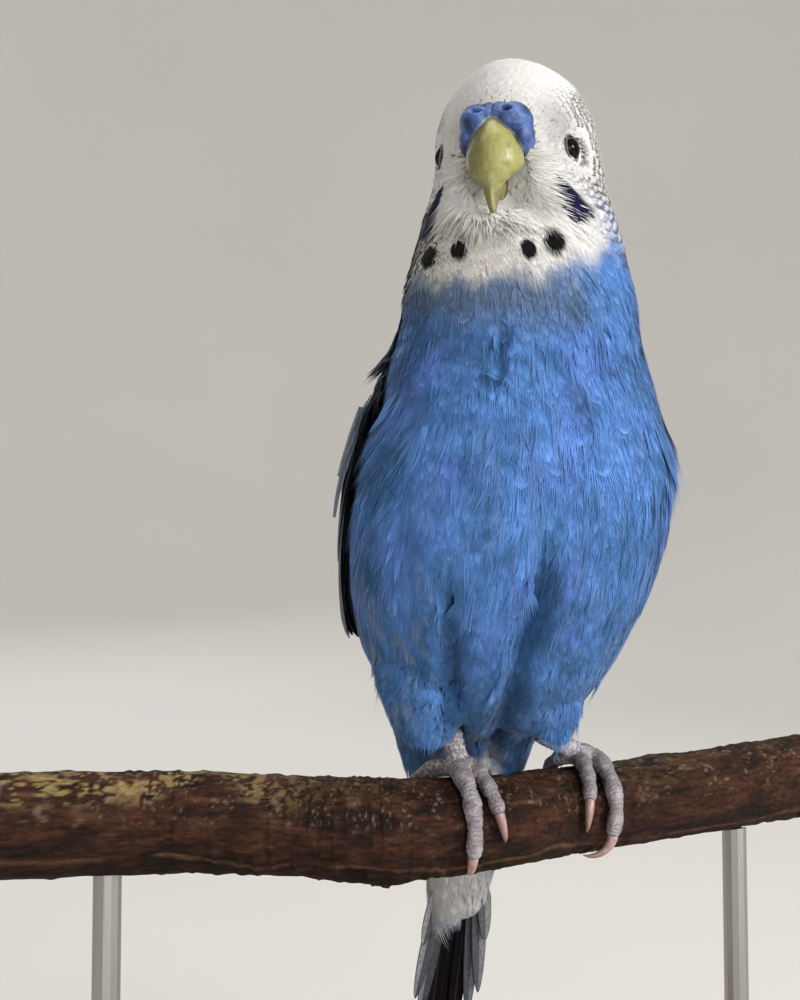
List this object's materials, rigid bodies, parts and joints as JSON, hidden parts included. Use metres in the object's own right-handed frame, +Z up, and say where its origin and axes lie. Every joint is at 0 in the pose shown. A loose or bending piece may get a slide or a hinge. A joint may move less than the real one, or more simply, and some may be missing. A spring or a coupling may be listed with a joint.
{
  "type": "budgerigar model",
  "caption": "Life-size blue budgerigar standing upright on a short cut branch, held over an oval base by slim rods.",
  "frame": {"origin": "centre of the base's underside", "axes": "the bird faces -Y, +X runs along the branch to the bird's left, +Z is up"},
  "size_m": [0.142, 0.104, 0.1909],
  "materials": {
    "white_feather": "soft white feathers with fine dark bars at the back",
    "blue_feather": "soft sky-blue feathers with a faint barb texture",
    "dark_feather": "black flight feathers and coverts with pale edges",
    "tail_feather": "dark blue and grey-blue tail feathers",
    "cere": "smooth waxy blue skin",
    "bill": "glossy olive-yellow horn",
    "eye": "wet black",
    "foot_skin": "scaly grey-mauve skin",
    "claw": "translucent pinkish horn",
    "bark": "smooth reddish-brown bark with pale worn patches",
    "stand_wood": "dark satin wood",
    "stand_metal": "satin steel"
  },
  "bodies": {
    "root": {"bill_lower": "bill", "bill_upper": "bill", "cere": "cere", "claw_left_inner_back": "claw", "claw_left_inner_front": "claw", "claw_left_outer_back": "claw", "claw_left_outer_front": "claw", "claw_right_inner_back": "claw", "claw_right_inner_front": "claw", "claw_right_outer_back": "claw", "claw_right_outer_front": "claw", "eye_left": "eye", "eye_right": "eye", "head": "white_feather", "leg_left": "foot_skin", "leg_right": "foot_skin", "neck": "white_feather", "perch": "bark", "rump": "blue_feather", "stand_base": "stand_wood", "stand_rod_left": "stand_metal", "stand_rod_right": "stand_metal", "tail": "tail_feather", "thigh_left": "blue_feather", "thigh_right": "blue_feather", "torso": "blue_feather", "wing_left_coverts": "dark_feather", "wing_left_primaries": "dark_feather", "wing_left_secondaries": "dark_feather", "wing_right_coverts": "dark_feather", "wing_right_primaries": "dark_feather", "wing_right_secondaries": "dark_feather"}
  },
  "joints": []
}
